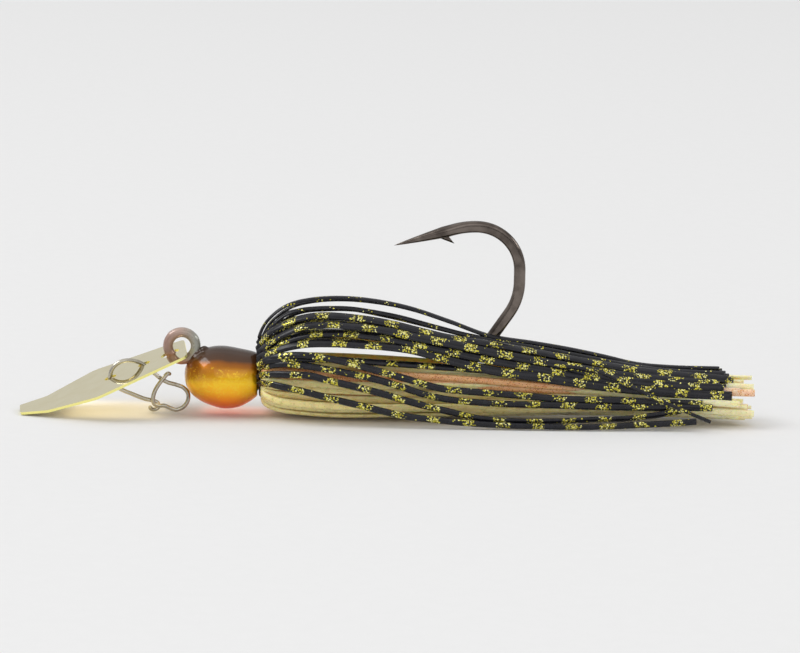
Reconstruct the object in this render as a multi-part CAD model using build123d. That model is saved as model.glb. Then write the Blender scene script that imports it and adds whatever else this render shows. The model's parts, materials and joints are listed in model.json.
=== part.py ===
from build123d import *
import math
import os

# A bladed jig lying on a table. Millimetres, +Z up, +X from the blade to the skirt's tail.
# Stations are measured from the blade's tip while it is drawn; at the end everything is
# moved so that the origin is the middle of the bounding box, on the table.

# ---- driving dimensions -------------------------------------------------------------
EYE_X, EYE_Z = 27.3, 10.16       # centre of the hook's eye
EYE_MEAN_RADIUS = 2.08
EYE_WIRE = 1.5

SHANK_Z = 6.1                    # height of the straight shank
SHANK_START = 30.2
HOOK_WIRE = 1.75                 # wire seen from the side
HOOK_FLAT = 1.4                  # thickness across the forged flats
# Corners of the hook's outline past the shank, and the radius of each bend
HOOK_CORNERS = ((69.55, SHANK_Z), (77.75, 18.2), (77.75, 29.05), (69.45, 29.05))
HOOK_RADII = (12.0, 8.5, 6.5, 12.0)
POINT_TIP = (59.2, 26.1)
POINT_TAPER = 7.6
BARB = ((65.3, 27.4), (67.9, 26.5), (67.1, 28.2))
BARB_WIDTH = 0.7

# Head sections: station, height of the centre, radius
HEAD_SECTIONS = (
    (27.75, 5.9, 1.0),
    (28.2, 5.75, 1.95),
    (29.0, 5.6, 2.85),
    (30.4, 5.75, 3.9),
    (31.7, 5.75, 4.4),
    (33.6, 5.5, 4.75),
    (36.0, 5.45, 4.4),
    (38.2, 5.85, 3.6),
    (38.8, 6.0, 3.2),
)
NOSE_BOSS = (30.0, 8.85, 1.1)          # lump of lead round the foot of the eye
SEAT_RADIUS, SEAT_LENGTH = 2.3, 3.4      # the neck that the skirt is bound on
LIP_RADIUS, LIP_LENGTH = 2.6, 0.5
KEEPER_RADIUS, KEEPER_LENGTH = 1.9, 3.2

BLADE_THICKNESS = 0.4
BLADE_SLOPE = 22.7               # degrees, main part
BLADE_BEND = 10.5                # degrees that the tip part is bent up by
BLADE_LENGTH = 26.5
BLADE_TIP_LENGTH = 4.1
BLADE_WIDEST = 11.9              # distance of the shoulders from the tip
TIP_HALF, BEND_HALF, SHOULDER_HALF, END_HALF = 2.2, 4.2, 8.1, 5.0
BLADE_RADII = [0.7, 6.0, 2.5, 1.2]       # corners of one side, from the tip
BLADE_ROLL = 4.0                 # degrees, near edge down
BLADE_YAW = 4.0                  # degrees, tip towards the near side
PIVOT_HOLE = 2.9
PIVOT_FROM_TIP = 24.0
PIVOT = (25.6, 8.77)             # middle of the pivot hole
SNAP_HOLE = 1.9
SNAP_HOLES = (9.65, 4.2)         # distances of the two snap holes from the pivot hole

SNAP_WIRE = 0.68

COLLAR_RADIUS, COLLAR_BORE = 3.55, 2.3
COLLAR_START, COLLAR_LENGTH = 39.0, 2.2

AXIS_TILT = 1.4                  # degrees that the skirt's axis drops towards its tail
STRAND_THICKNESS = 0.35
SKIRT_START = 39.45              # station of the skirt's frame, on the collar
BULGE_SIDE, BULGE_TOP, BULGE_BOTTOM = 8.8, 11.4, 5.6
TAIL_SIDE, TAIL_HEIGHT = 6.8, 3.5
SHALLOW_RISE = 2.6               # strands that rise less than this leave without a bend
# A strand's line: shares of the rise from the collar, and distances along the axis
STEEP_RISE = 0.34                # straight up at the collar
BROW_ALONG, BROW_RISE = 2.3, 0.84
CREST_ALONG, CREST_SHARE = 10.5, 1.04
WAIST_ALONG, WAIST_SHARE = 32.0, 0.6


def head_casting(hook_solid):
    """The lead head: an egg, the nose lump, the skirt seat and the keeper barb."""
    sections = [
        Plane(origin=(x, 0, z), x_dir=(0, 1, 0), z_dir=(1, 0, 0)) * Circle(r)
        for x, z, r in HEAD_SECTIONS
    ]
    egg = loft(sections)
    boss_x, boss_z, boss_r = NOSE_BOSS
    boss = Pos(boss_x, 0, boss_z) * Sphere(boss_r)
    rear = HEAD_SECTIONS[-1][0]
    seat = along_x(rear - 0.6, SHANK_Z, SEAT_RADIUS, SEAT_LENGTH + 0.6)
    lip = along_x(rear + SEAT_LENGTH, SHANK_Z, LIP_RADIUS, LIP_LENGTH)
    keeper_x = rear + SEAT_LENGTH + LIP_LENGTH
    keeper = Plane(origin=(keeper_x + KEEPER_LENGTH / 2, 0, SHANK_Z), z_dir=(1, 0, 0)) * Cone(
        KEEPER_RADIUS, HOOK_WIRE / 2 + 0.2, KEEPER_LENGTH
    )
    return egg + boss + seat + lip + keeper - hook_solid


def along_x(start, height, radius, length):
    """A cylinder along X from a station, at a height."""
    return Plane(origin=(start + length / 2, 0, height), z_dir=(1, 0, 0)) * Cylinder(radius, length)


def bent_edges(points, radii):
    """Straight runs joined by tangent arcs; one radius for each inner point."""
    edges = []
    last = Vector(*points[0])
    for i, radius in enumerate(radii, start=1):
        corner = Vector(*points[i])
        come = (corner - Vector(*points[i - 1])).normalized()
        go = (Vector(*points[i + 1]) - corner).normalized()
        turn = math.radians(come.get_angle(go))
        reach = radius * math.tan(turn / 2)
        inward = (go - come).normalized()
        middle = corner + inward * (radius / math.cos(turn / 2) - radius)
        start, end = corner - come * reach, corner + go * reach
        edges.append(Edge.make_line(last, start))
        edges.append(Edge.make_three_point_arc(start, middle, end))
        last = end
    edges.append(Edge.make_line(last, Vector(*points[-1])))
    return edges


def polar(centre, radius, degrees):
    angle = math.radians(degrees)
    return centre[0] + radius * math.cos(angle), centre[1] + radius * math.sin(angle)


def hook():
    """Eye, shank, forged round bend, needle point and barb, in one solid."""
    tip = Vector(POINT_TIP[0], 0, POINT_TIP[1])
    last_corner = Vector(HOOK_CORNERS[-1][0], 0, HOOK_CORNERS[-1][1])
    taper_start = tip + (last_corner - tip).normalized() * POINT_TAPER
    corners = [Vector(x, 0, z) for x, z in HOOK_CORNERS]
    outline = [Vector(SHANK_START, 0, SHANK_Z)] + corners + [taper_start]
    path = Wire(bent_edges(outline, HOOK_RADII))
    section = Plane(origin=outline[0], z_dir=(1, 0, 0)) * Circle(HOOK_WIRE / 2)
    rod = sweep(section, path=path)
    needle_plane = Plane(origin=(taper_start + tip) * 0.5, z_dir=tip - taper_start)
    needle = needle_plane * Cone(HOOK_WIRE / 2, 0.05, POINT_TAPER)
    barb = extrude(Plane.XZ * make_face(Polyline(*BARB, close=True)), BARB_WIDTH / 2, both=True)
    flats = Pos(50, 0, 20) * Box(120, HOOK_FLAT, 60)
    rod = (rod + needle) & flats
    ring = Plane(origin=(EYE_X, 0, EYE_Z), z_dir=(0, 1, 0)) * Torus(EYE_MEAN_RADIUS, EYE_WIRE / 2)
    foot = polar((EYE_X, EYE_Z), EYE_MEAN_RADIUS, -35)
    neck_points = [(foot[0], 0, foot[1]), (30.4, 0, SHANK_Z), (SHANK_START + 3, 0, SHANK_Z)]
    neck_path = Wire(bent_edges(neck_points, (1.6,)))
    neck_dir = Vector(*neck_points[1]) - Vector(*neck_points[0])
    neck = sweep(Plane(origin=neck_points[0], z_dir=neck_dir) * Circle(0.7), path=neck_path)
    return rod + barb + neck + ring


def blade_plane():
    """The blade's own frame: origin in the pivot hole, x up the slope, z out of the top."""
    hole = Location((PIVOT[0], 0, PIVOT[1])) * Rotation(0, 0, BLADE_YAW)
    return hole * Rotation(0, -BLADE_SLOPE, 0) * Rotation(BLADE_ROLL, 0, 0)


def blade():
    """A bent coffin plate with a pivot hole and two snap holes."""
    def station(distance):
        return distance - PIVOT_FROM_TIP

    half = (
        (station(0), TIP_HALF),
        (station(BLADE_TIP_LENGTH), BEND_HALF),
        (station(BLADE_WIDEST), SHOULDER_HALF),
        (station(BLADE_LENGTH), END_HALF),
    )
    bend_x = station(BLADE_TIP_LENGTH)
    lower = [(x, -y) for x, y in half]
    upper = list(reversed(half))
    outline = FilletPolyline(*lower, *upper, radius=BLADE_RADII + BLADE_RADII[::-1], close=True)
    flat = extrude(make_face(outline), 12, both=True)
    t = BLADE_THICKNESS / 2
    tip_dir = math.radians(180 - BLADE_BEND)
    reach = BLADE_TIP_LENGTH + 1
    end = (bend_x + reach * math.cos(tip_dir), reach * math.sin(tip_dir))
    lift = t * math.tan(math.radians(BLADE_BEND / 2))
    normal = (t * math.sin(tip_dir), -t * math.cos(tip_dir))
    side = Polyline(
        (station(BLADE_LENGTH + 1), -t),
        (bend_x - lift, -t),
        (end[0] - normal[0], end[1] - normal[1]),
        (end[0] + normal[0], end[1] + normal[1]),
        (bend_x + lift, t),
        (station(BLADE_LENGTH + 1), t),
        close=True,
    )
    strip = extrude(Plane.XZ * make_face(side), 20, both=True)
    plate = flat & strip
    plate -= Cylinder(PIVOT_HOLE / 2, 4)
    for distance in SNAP_HOLES:
        plate -= Pos(-distance, 0, 0) * Cylinder(SNAP_HOLE / 2, 4)
    return blade_plane() * plate


# The snap's wire in its own plane: along the blade from the middle between its two holes,
# height over the blade's middle, and offset to the far side. Then the radius of each bend.
SNAP_ROUTE = (
    (2.4, -6.6, 0.42),
    (1.7, -5.85, 0.42),
    (-2.7, -1.7, 0.1),
    (-2.6, 1.25, 0.0),
    (1.85, 1.3, 0.0),
    (5.45, -4.1, 0.42),
    (6.75, -5.2, 0.3),
    (6.8, -8.7, 0.0),
    (4.75, -8.2, -0.15),
    (3.25, -7.1, -0.3),
    (1.15, -6.4, -0.3),
    (2.1, -4.2, -0.42),
    (5.35, -2.4, -0.42),
)
SNAP_RADII = (0.5, 0.8, 1.0, 1.2, 0.8, 0.9, 1.2, 1.0, 0.8, 0.45, 1.0)


def snap_frame():
    """The snap's frame: origin on the blade midway between the holes, x up the slope."""
    middle = -sum(SNAP_HOLES) / 2
    return blade_plane() * Location((middle, 0, 0)) * Rotation(-BLADE_ROLL, 0, 0)


def line_snap():
    """One wire: a latch end, the arch through the two holes, the loop and its clip end."""
    route = [Vector(along, aside, height) for along, height, aside in SNAP_ROUTE]
    path = Wire(bent_edges(route, SNAP_RADII))
    section = Plane(origin=route[0], z_dir=route[1] - route[0]) * Circle(SNAP_WIRE / 2)
    return snap_frame() * sweep(section, path=path)


def skirt_collar():
    """The rubber ring that binds the skirt to the head's seat."""
    return along_x(COLLAR_START, SHANK_Z, COLLAR_RADIUS, COLLAR_LENGTH) - along_x(
        COLLAR_START - 1, SHANK_Z, COLLAR_BORE, COLLAR_LENGTH + 2
    )


def parallel(points, radii, distance):
    """The same bent line moved sideways in its plane, with its radii to match."""
    moved, moved_radii = [], []
    for i, point in enumerate(points):
        before = Vector(*points[max(i - 1, 0)])
        after = Vector(*points[min(i + 1, len(points) - 1)])
        here = Vector(*point)
        come = (here - before).normalized() if i else (after - here).normalized()
        go = (after - here).normalized() if i < len(points) - 1 else come
        bisector = (come + go).normalized()
        side = Vector(-bisector.Y, bisector.X)
        half = math.radians(come.get_angle(go)) / 2
        moved.append(here + side * (distance / math.cos(half)))
        if 0 < i < len(points) - 1:
            left_turn = come.X * go.Y - come.Y * go.X > 0
            moved_radii.append(radii[i - 1] - distance if left_turn else radii[i - 1] + distance)
    return moved, moved_radii


def ellipse(side, height, angle):
    return 1 / math.hypot(math.cos(angle) / side, math.sin(angle) / height)


def widest_arc(points, i):
    """The largest radius that the two runs beside corner i leave room for."""
    before, here, after = (Vector(*p) for p in points[i - 1 : i + 2])
    turn = math.radians((here - before).get_angle(after - here))
    shorter = min((here - before).length, (after - here).length)
    return 0.45 * shorter / math.tan(turn / 2)


def strand(angle, share, start, tail, width):
    """A flat strip that leaves the collar, arches out and trails back to a cut end.

    angle: degrees round the skirt's axis, 90 at the top. share: how far out it runs,
    from 0 on the axis to 1 in the outer layer. start: station and radius where it leaves
    the collar. tail: station of the cut end.
    """
    a = math.radians(angle)
    bulge = share * ellipse(BULGE_SIDE, BULGE_TOP if math.sin(a) > 0 else BULGE_BOTTOM, a)
    end = share * ellipse(TAIL_SIDE, TAIL_HEIGHT, a)
    foot, root = start[0] - SKIRT_START, start[1]
    rise = bulge - root
    shoulders = [
        (foot + BROW_ALONG, root + BROW_RISE * rise),
        (foot + CREST_ALONG, bulge * CREST_SHARE),
        (WAIST_ALONG, WAIST_SHARE * bulge + (1 - WAIST_SHARE) * end),
        (tail - SKIRT_START, end),
    ]
    if rise > SHALLOW_RISE:
        points = [(foot, root), (foot + 0.05, root + STEEP_RISE * rise)] + shoulders
        radii = [0.4 + 0.3 * rise, 0.6 + 0.5 * rise, 14.0, 60.0]
    else:
        points = [(foot, root + STRAND_THICKNESS / 2)] + shoulders
        radii = [3.0, 14.0, 60.0]
    radii = [min(r, widest_arc(points, i)) for i, r in enumerate(radii, start=1)]
    outer, outer_radii = parallel(points, radii, STRAND_THICKNESS / 2)
    inner, inner_radii = parallel(points, radii, -STRAND_THICKNESS / 2)
    outer_edges = bent_edges(outer, outer_radii)
    inner_edges = bent_edges(inner, inner_radii)
    start_cap = Edge.make_line(outer[0], inner[0])
    end_cap = Edge.make_line(outer[-1], inner[-1])
    profile = Face(Wire(outer_edges + [start_cap, end_cap] + inner_edges))
    strip = extrude(profile, width / 2, dir=(0, 0, 1), both=True)
    tilt = math.radians(AXIS_TILT)
    axis = Vector(math.cos(tilt), 0, -math.sin(tilt))
    upright = Vector(math.sin(tilt), 0, math.cos(tilt))
    radial = Vector(0, 1, 0) * math.cos(a) + upright * math.sin(a)
    plane = Plane(origin=(SKIRT_START, 0, SHANK_Z), x_dir=axis, z_dir=axis.cross(radial))
    return plane * strip


# Layers of the skirt: number of strands, share of the outer layer's radius, station and
# radius where they leave the collar, strand width, and how far down the sides it is black.
LAYERS = (
    (18, 1.0, (39.45, 3.6), 1.05, -0.7),
    (14, 0.78, (40.5, 3.6), 0.9, -0.3),
    (10, 0.62, (41.5, 2.85), 0.8, 2.0),
)
TAIL_BLACK, TAIL_GOLD, TAIL_ORANGE = 107.0, 110.8, 112.4
TAIL_UNEVEN = 1.3                # how much the cut ends differ in length
ORANGE_EVERY = 3                 # one inner strand in three is orange


def strands():
    """Every skirt strand: its colour's name, and its solid."""
    made = []
    for layer, (count, share, start, width, lowest_black) in enumerate(LAYERS):
        for i in range(count):
            angle = 90 + (i + 0.5) * 360 / count
            uneven = TAIL_UNEVEN * math.sin(2.4 * i + 1.7 * layer)
            if math.sin(math.radians(angle)) > lowest_black:
                colour = "black"
            elif layer == len(LAYERS) - 1 and i % ORANGE_EVERY == 1:
                colour = "orange"
            else:
                colour = "gold"
            tail = {"black": TAIL_BLACK, "gold": TAIL_GOLD, "orange": TAIL_ORANGE}[colour]
            made.append((colour, strand(angle, share, start, tail + uneven, width)))
    return made


def build():
    hook_solid = hook()
    parts = {
        "hook": hook_solid,
        "head_casting": head_casting(hook_solid),
        "blade": blade(),
        "line_snap": line_snap(),
        "skirt_collar": skirt_collar(),
    }
    counts = {}
    for colour, solid in strands():
        counts[colour] = counts.get(colour, 0) + 1
        parts[f"strand_{colour}_{counts[colour]:02d}"] = solid
    return parts


def place(parts):
    """The move that puts the origin in the middle of the bounding box, on the table."""
    box = Compound(children=[Compound(p.solids()) for p in parts.values()]).bounding_box()
    return Pos(-(box.min.X + box.max.X) / 2, -(box.min.Y + box.max.Y) / 2, -box.min.Z)


def say(name, vector):
    print(name, [round(v, 3) for v in (vector.X, vector.Y, vector.Z)])


def main():
    os.makedirs("parts", exist_ok=True)
    parts = build()
    move = place(parts)
    for name, solid in parts.items():
        export_step(move * solid, f"parts/{name}.step")
    say("move", move.position)
    say("eye centre", (move * Location((EYE_X, 0, EYE_Z))).position)
    snap = move * snap_frame()
    say("snap axis point", snap.position)
    say("arch top", (snap * Location((-0.3, 0, 1.2))).position)
    say("snap axis direction", Plane(snap).x_dir)
    say("pivot hole", (move * blade_plane()).position)
    say("pivot hole direction", Plane(move * blade_plane()).z_dir)


main()
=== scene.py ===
import json
import math
import random

import bpy
from mathutils import Matrix, Vector, noise

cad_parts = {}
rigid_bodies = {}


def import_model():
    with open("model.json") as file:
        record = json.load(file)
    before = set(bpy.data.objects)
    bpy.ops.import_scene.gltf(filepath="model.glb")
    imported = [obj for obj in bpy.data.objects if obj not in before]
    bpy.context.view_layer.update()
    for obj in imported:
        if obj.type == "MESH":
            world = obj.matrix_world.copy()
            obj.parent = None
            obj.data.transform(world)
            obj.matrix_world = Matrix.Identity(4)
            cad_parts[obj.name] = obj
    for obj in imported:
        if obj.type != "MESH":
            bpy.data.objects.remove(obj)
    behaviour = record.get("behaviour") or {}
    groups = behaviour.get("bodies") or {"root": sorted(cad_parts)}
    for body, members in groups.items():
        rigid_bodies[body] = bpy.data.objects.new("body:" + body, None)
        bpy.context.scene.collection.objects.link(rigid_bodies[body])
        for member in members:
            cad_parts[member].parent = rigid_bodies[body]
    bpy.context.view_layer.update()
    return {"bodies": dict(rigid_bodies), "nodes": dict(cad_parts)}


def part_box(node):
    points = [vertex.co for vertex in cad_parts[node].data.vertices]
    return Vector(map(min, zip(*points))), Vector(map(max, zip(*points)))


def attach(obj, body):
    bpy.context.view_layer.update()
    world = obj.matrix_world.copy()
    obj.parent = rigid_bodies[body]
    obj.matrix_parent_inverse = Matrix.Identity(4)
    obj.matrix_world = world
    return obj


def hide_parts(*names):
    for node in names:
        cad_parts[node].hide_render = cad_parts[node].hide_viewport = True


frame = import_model()

MM = 0.001

# ---------------------------------------------------------------- places from the frame
ring_low, ring_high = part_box("skirt_collar")
head_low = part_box("head_casting")[0]
COLLAR_X = ring_low.x / MM                      # front face of the skirt collar
SHANK_Z = (ring_low.z + ring_high.z) / 2 / MM   # height of the shank's axis


# ---------------------------------------------------------------- camera, floor, lights
VIEW_ELEVATION = math.radians(10.0)
VIEW_ROLL = math.radians(1.05)
VIEW_TARGET = Vector((1.67, 0.0, 13.9)) * MM
VIEW_WIDTH = 120.0 * MM          # how much of the world is across the picture, at the target
LENS, SENSOR = 200.0, 36.0


def make_camera():
    """A long lens in front of the lure, looking slightly down."""
    data = bpy.data.cameras.new("camera")
    data.lens = LENS
    data.sensor_width = SENSOR
    data.clip_start = 0.01
    data.clip_end = 20.0
    camera = bpy.data.objects.new("camera", data)
    back = Vector((0, -math.cos(VIEW_ELEVATION), math.sin(VIEW_ELEVATION)))
    turn = back.to_track_quat("Z", "Y").to_matrix().to_4x4()
    place = Matrix.Translation(VIEW_TARGET + back * VIEW_WIDTH * LENS / SENSOR)
    camera.matrix_world = place @ turn @ Matrix.Rotation(VIEW_ROLL, 4, "Z")
    bpy.context.scene.collection.objects.link(camera)
    bpy.context.scene.camera = camera


def area_light(name, place, aim, size, power, colour=(1, 1, 1)):
    """A rectangle of light, in metres and watts, that faces the aim."""
    data = bpy.data.lights.new(name, "AREA")
    data.shape = "RECTANGLE"
    data.size, data.size_y = size
    data.energy = power
    data.color = colour
    light = bpy.data.objects.new(name, data)
    way = Vector(place) - Vector(aim)
    light.matrix_world = Matrix.Translation(place) @ way.to_track_quat("Z", "Y").to_matrix().to_4x4()
    bpy.context.scene.collection.objects.link(light)
    return light


DIM, BRIGHT = 0.34, 0.66         # the room's strength low in front, and elsewhere
FLOOR_HALF = 4.0
PAPER = ((0.3, (0.800, 0.800, 0.800)), (0.7, (0.808, 0.808, 0.808)))
PAPER_GRAIN = 400.0

# Name, place, aim, size and power
LURE = (0, 0, 0.01)
SOFTBOXES = (
    ("softbox_top", (0.0, 0.35, 2.2), (0, 0.35, 0), (2.6, 2.2), 4.6),
    ("softbox_left", (-1.55, -0.28, 1.65), LURE, (1.35, 1.00), 18.5),
    ("softbox_front", (0.30, -2.50, 1.10), LURE, (3.0, 1.6), 9.5),
    ("softbox_right", (2.10, -0.38, 1.15), LURE, (0.62, 0.62), 8.5),
)
# Light that the gold plate and the red belly throw on the paper: X, Y and height of the lamp
GOLD_GLOW, GOLD_GLOW_SIZE = (-0.041, 0.002, 0.0016), (0.014, 0.013)
RED_GLOW, RED_GLOW_SIZE = (head_low.x + 0.0075, 0.0035, 0.0009), (0.010, 0.006)


def make_stage():
    """The pale room, the paper floor, four softboxes and the two glows under the lure."""
    world = bpy.data.worlds.new("studio")
    world.use_nodes = True
    tree = world.node_tree
    back = tree.nodes["Background"]
    # A pale room that is dim low down on the camera's side
    way = add(tree, "ShaderNodeSeparateXYZ", Vector=add(tree, "ShaderNodeTexCoord").outputs["Generated"])
    side = calc(tree, "ADD", way.outputs["Y"], calc(tree, "MULTIPLY", way.outputs["Z"], 0.9))
    glow = spread(tree, side, -0.80, -0.15, DIM, BRIGHT)
    back.inputs["Color"].default_value = (1, 1, 1, 1)
    tree.links.new(glow, back.inputs["Strength"])
    bpy.context.scene.world = world

    half = FLOOR_HALF
    mesh = bpy.data.meshes.new("floor")
    mesh.from_pydata([(-half, -half, 0), (half, -half, 0), (half, half, 0), (-half, half, 0)],
                     [], [(0, 1, 2, 3)])
    floor = bpy.data.objects.new("floor", mesh)
    bpy.context.scene.collection.objects.link(floor)
    mat, tree, shader = new_material("floor_paper")
    shader.inputs["Roughness"].default_value = 0.9
    shader.inputs["Specular IOR Level"].default_value = 0.1
    place = add(tree, "ShaderNodeTexCoord")
    grain = add(tree, "ShaderNodeTexNoise", Vector=place.outputs["Object"], Scale=PAPER_GRAIN, Detail=2.0)
    tree.links.new(ramp(tree, grain.outputs["Fac"], PAPER), shader.inputs["Base Color"])
    mesh.materials.append(mat)

    for light in SOFTBOXES:
        area_light(*light)
    x, y, _ = GOLD_GLOW
    gold = area_light("bounce_gold", GOLD_GLOW, (x, y, 0), GOLD_GLOW_SIZE, 0.00034, (1, 0.80, 0.42))
    gold.parent = frame["bodies"]["blade"]      # it hangs under the blade and swings with it
    x, y, _ = RED_GLOW
    area_light("bounce_red", RED_GLOW, (x, y, 0), RED_GLOW_SIZE, 0.00007, (1, 0.42, 0.30))


# ---------------------------------------------------------------- material helpers
def new_material(name):
    """A node material, its tree and its shader."""
    mat = bpy.data.materials.new(name)
    mat.use_nodes = True
    return mat, mat.node_tree, mat.node_tree.nodes["Principled BSDF"]


def add(tree, kind, **inputs):
    """A node; each keyword is an input, given a link or a value."""
    made = tree.nodes.new(kind)
    for name, value in inputs.items():
        socket = made.inputs[name.replace("_", " ")]
        if isinstance(value, bpy.types.NodeSocket):
            tree.links.new(value, socket)
        else:
            socket.default_value = value
    return made


def calc(tree, operation, *values, clamp=False):
    """A math node on numbers or links."""
    made = tree.nodes.new("ShaderNodeMath")
    made.operation = operation
    made.use_clamp = clamp
    for socket, value in zip(made.inputs, values):
        if isinstance(value, bpy.types.NodeSocket):
            tree.links.new(value, socket)
        else:
            socket.default_value = value
    return made.outputs[0]


def ramp(tree, factor, stops):
    """A colour ramp with stops of (place, colour)."""
    made = tree.nodes.new("ShaderNodeValToRGB")
    tree.links.new(factor, made.inputs["Fac"])
    elements = made.color_ramp.elements
    while len(elements) < len(stops):
        elements.new(0.5)
    for element, (place, colour) in zip(elements, stops):
        element.position = place
        element.color = (*colour, 1)
    return made.outputs["Color"]


def blend_colour(tree, factor, a, b):
    """Colour a where the factor is 0 and b where it is 1; each is a link or a colour."""
    made = tree.nodes.new("ShaderNodeMix")
    made.data_type = "RGBA"
    sockets = [s for s in made.inputs if s.type == "RGBA"]
    factor_socket = [s for s in made.inputs if s.type == "VALUE"][0]
    for socket, value in ((factor_socket, factor), (sockets[0], a), (sockets[1], b)):
        if isinstance(value, bpy.types.NodeSocket):
            tree.links.new(value, socket)
        elif isinstance(value, tuple):
            socket.default_value = (*value, 1)
        else:
            socket.default_value = value
    return [s for s in made.outputs if s.type == "RGBA"][0]


def spread(tree, value, low, high, to_low, to_high):
    """The value moved from the range low to high into the range to_low to to_high, clamped."""
    made = add(tree, "ShaderNodeMapRange")
    tree.links.new(value, made.inputs["Value"])
    for name, number in (("From Min", low), ("From Max", high), ("To Min", to_low), ("To Max", to_high)):
        made.inputs[name].default_value = number
    return made.outputs["Result"]


def bump(tree, shader, height, strength, distance):
    """Fine relief, its distance in metres."""
    made = add(tree, "ShaderNodeBump", Strength=strength, Distance=distance, Height=height)
    tree.links.new(made.outputs["Normal"], shader.inputs["Normal"])


# ---------------------------------------------------------------- materials
EYE = (-11.70, 4.06)             # centre of the eye, from the collar's front and the shank
EYE_MEAN, EYE_WIRE = 2.08, 0.78
EYE_AROUND, EYE_ACROSS = 96, 28
PATCH_EVERY = 5.2                # mm from one glitter patch to the next along a strand
PATCH_HALF = (0.80, 1.15)        # where a patch starts to thin out, and where it ends
PALE_TAIL = (45.0, 72.0)         # mm along a strand over which it fades to its tip's colour


def metal(name, colour, dark, roughness, streak=(900.0, 9000.0, 9000.0), depth=0.000004):
    """Polished metal with fine drawn streaks and slightly uneven polish."""
    mat, tree, shader = new_material(name)
    shader.inputs["Metallic"].default_value = 1.0
    place = add(tree, "ShaderNodeTexCoord").outputs["Object"]
    stretch = add(tree, "ShaderNodeMapping", Vector=place, Scale=streak)
    fine = add(tree, "ShaderNodeTexNoise", Vector=stretch.outputs["Vector"], Scale=1.0, Detail=3.0)
    broad = add(tree, "ShaderNodeTexNoise", Vector=place, Scale=420.0, Detail=3.0)
    tone = ramp(tree, broad.outputs["Fac"], [(0.3, dark), (0.62, colour)])
    tree.links.new(tone, shader.inputs["Base Color"])
    rough = spread(tree, fine.outputs["Fac"], 0.3, 0.7, roughness * 0.7, roughness * 1.5)
    tree.links.new(rough, shader.inputs["Roughness"])
    bump(tree, shader, fine.outputs["Fac"], 0.5, depth)
    return mat


def head_paint():
    """Candy lacquer over foil: dark back, amber flank with a bright speckled band, red belly."""
    mat, tree, shader = new_material("head_lacquer")
    place = add(tree, "ShaderNodeTexCoord").outputs["Object"]
    axes = add(tree, "ShaderNodeSeparateXYZ", Vector=place)
    wander = add(tree, "ShaderNodeTexNoise", Vector=place, Scale=260.0, Detail=2.0)
    height = spread(tree, axes.outputs["Z"], 1.0 * MM, 11.0 * MM, 0.0, 1.0)
    along = spread(tree, axes.outputs["X"], head_low.x, head_low.x + 11.0 * MM, -1.0, 1.0)
    sag = calc(tree, "MULTIPLY", calc(tree, "MULTIPLY", along, along), -0.045)
    uneven = calc(tree, "MULTIPLY", calc(tree, "SUBTRACT", wander.outputs["Fac"], 0.5), 0.07)
    level = calc(tree, "ADD", calc(tree, "SUBTRACT", height, sag), uneven)
    base = ramp(tree, level, [
        (0.02, (1.00, 0.150, 0.004)),
        (0.13, (1.00, 0.240, 0.004)),
        (0.28, (1.00, 0.440, 0.004)),
        (0.45, (1.00, 0.540, 0.006)),
        (0.62, (0.62, 0.230, 0.006)),
        (0.735, (0.34, 0.105, 0.008)),
        (0.785, (0.085, 0.034, 0.012)),
        (0.95, (0.034, 0.016, 0.008)),
    ])
    # Bright foil specks, thickest in the middle band behind the widest part
    cells = add(tree, "ShaderNodeTexVoronoi", Vector=place, Scale=4200.0)
    pick = add(tree, "ShaderNodeSeparateColor", Color=cells.outputs["Color"])
    band = calc(tree, "SUBTRACT", 1.0, calc(tree, "MULTIPLY", calc(tree, "ABSOLUTE",
                calc(tree, "SUBTRACT", level, 0.46)), 4.2), clamp=True)
    patch = add(tree, "ShaderNodeTexNoise", Vector=place, Scale=520.0, Detail=3.0)
    wish = calc(tree, "MULTIPLY", band, spread(tree, patch.outputs["Fac"], 0.35, 0.62, 0.1, 1.0))
    speck = calc(tree, "LESS_THAN", pick.outputs["Red"], wish)
    lit = calc(tree, "MULTIPLY", speck, spread(tree, pick.outputs["Green"], 0.0, 1.0, 0.1, 0.55))
    # The foil shows brightest towards the rear, and a brown cloud dulls it in front
    rear = calc(tree, "MULTIPLY", band, spread(tree, along, -0.35, 0.75, 0.0, 0.85))
    cloud = add(tree, "ShaderNodeTexNoise", Vector=place, Scale=190.0, Detail=1.0)
    upper = calc(tree, "MULTIPLY", spread(tree, level, 0.42, 0.56, 0.0, 1.0),
                 spread(tree, level, 0.68, 0.76, 1.0, 0.0))
    dull = calc(tree, "MULTIPLY", upper, spread(tree, cloud.outputs["Fac"], 0.45, 0.62, 0.0, 0.55))
    colour = blend_colour(tree, rear, base, (1.0, 0.62, 0.004))
    colour = blend_colour(tree, dull, colour, (0.36, 0.13, 0.012))
    colour = blend_colour(tree, lit, colour, (1.0, 0.70, 0.03))
    tree.links.new(colour, shader.inputs["Base Color"])
    tree.links.new(spread(tree, level, 0.70, 0.80, 0.80, 0.0), shader.inputs["Metallic"])
    tree.links.new(spread(tree, pick.outputs["Blue"], 0.0, 1.0, 0.30, 0.48), shader.inputs["Roughness"])
    shader.inputs["Coat Weight"].default_value = 1.0
    shader.inputs["Coat Roughness"].default_value = 0.03
    shader.inputs["Coat IOR"].default_value = 1.42
    shader.inputs["Specular IOR Level"].default_value = 0.05
    bump(tree, shader, wander.outputs["Fac"], 0.25, 0.00003)
    return mat


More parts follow.
